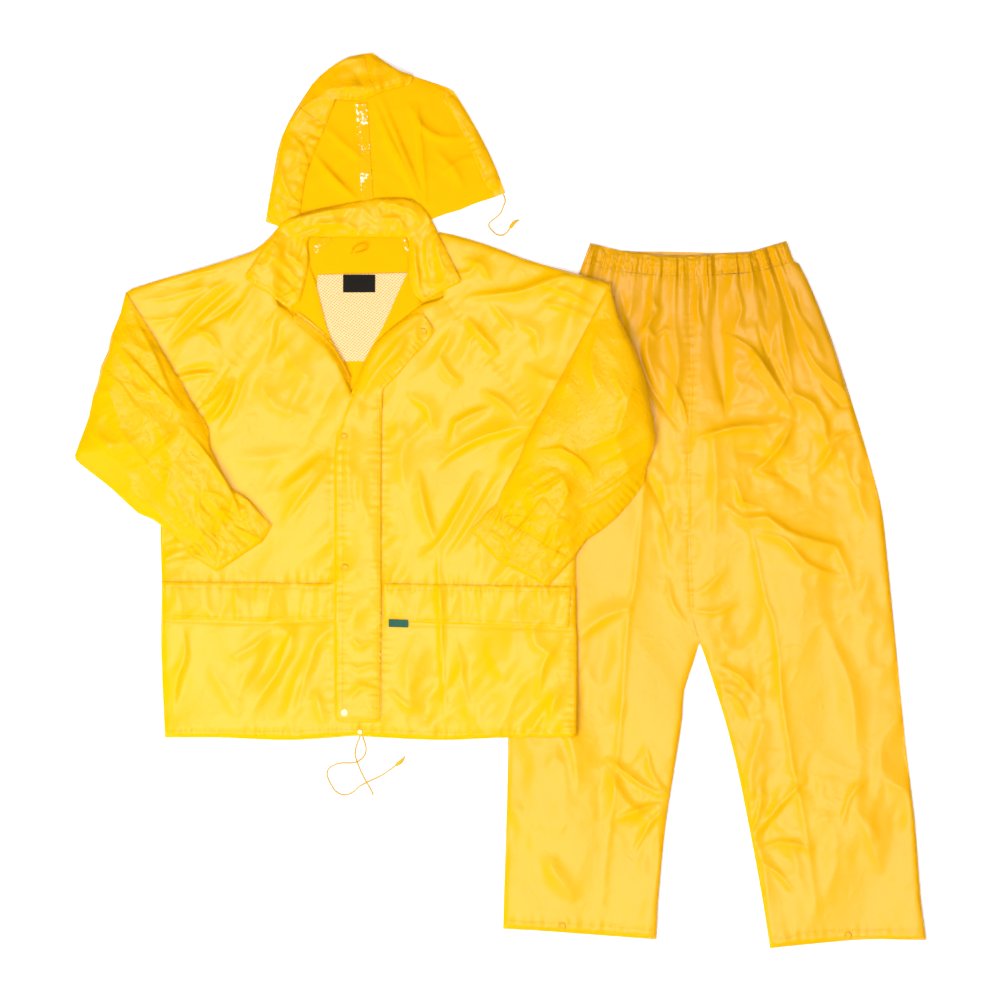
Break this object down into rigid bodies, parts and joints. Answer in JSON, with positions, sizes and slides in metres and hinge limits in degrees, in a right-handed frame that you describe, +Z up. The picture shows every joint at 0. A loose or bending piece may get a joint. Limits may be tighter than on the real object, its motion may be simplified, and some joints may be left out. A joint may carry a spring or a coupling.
{
  "type": "rain suit",
  "caption": "Hooded rain jacket with storm flap and pocket flaps, and matching elastic-waist trousers, laid flat with the sleeves folded in.",
  "frame": {"origin": "on the surface that the suit lies on, under the middle of the whole set", "axes": "+Z up off the surface, +Y from the hems towards the necks, +X from the jacket towards the trousers"},
  "size_m": [1.362, 1.432, 0.0426],
  "materials": {
    "jacket_cloth": "glossy coated nylon",
    "inner_cloth": "matt coating on the inside of the cloth",
    "trouser_cloth": "glossy coated nylon",
    "seam_tape": "clear glossy sealing tape over the cloth",
    "mesh": "fine knitted net",
    "label": "plain woven label, bare",
    "tag": "plain woven tag, bare",
    "zip": "woven tape",
    "stud": "moulded",
    "cord": "braided",
    "toggle": "moulded"
  },
  "bodies": {
    "root": {"jacket_back": "jacket_cloth", "sleeve_left_back": "jacket_cloth", "sleeve_right_back": "jacket_cloth", "front_left": "jacket_cloth", "front_right": "jacket_cloth", "sleeve_left_front": "jacket_cloth", "sleeve_right_front": "jacket_cloth", "sleeve_left_turned_under": "jacket_cloth", "sleeve_right_turned_under": "jacket_cloth", "sleeve_left_turned_top": "jacket_cloth", "sleeve_right_turned_top": "jacket_cloth", "cuff_left": "jacket_cloth", "cuff_right": "jacket_cloth", "collar_left": "jacket_cloth", "collar_right": "jacket_cloth", "storm_flap": "jacket_cloth", "pocket_flap_left": "jacket_cloth", "pocket_flap_right": "jacket_cloth", "hood_side": "jacket_cloth", "hood_brim": "jacket_cloth", "hood_hem": "jacket_cloth", "hanging_loop": "jacket_cloth", "hood_back": "inner_cloth", "hood_tape": "seam_tape", "facing_left": "inner_cloth", "facing_right": "inner_cloth", "zip_tape": "zip", "mesh_lining": "mesh", "neck_label": "label", "pocket_tag": "tag", "stud_neck": "stud", "stud_chest": "stud", "stud_waist": "stud", "stud_hem": "stud", "stud_ankle_left": "stud", "stud_ankle_right": "stud", "eyelet": "stud", "hood_cord": "cord", "hem_cord_left": "cord", "hem_cord_right": "cord", "hood_toggle": "toggle", "hem_toggle": "toggle", "trouser_back_left": "trouser_cloth", "trouser_back_right": "trouser_cloth", "trouser_front_left": "trouser_cloth", "trouser_front_right": "trouser_cloth", "waistband_front": "trouser_cloth", "waistband_back": "trouser_cloth"}
  },
  "joints": []
}
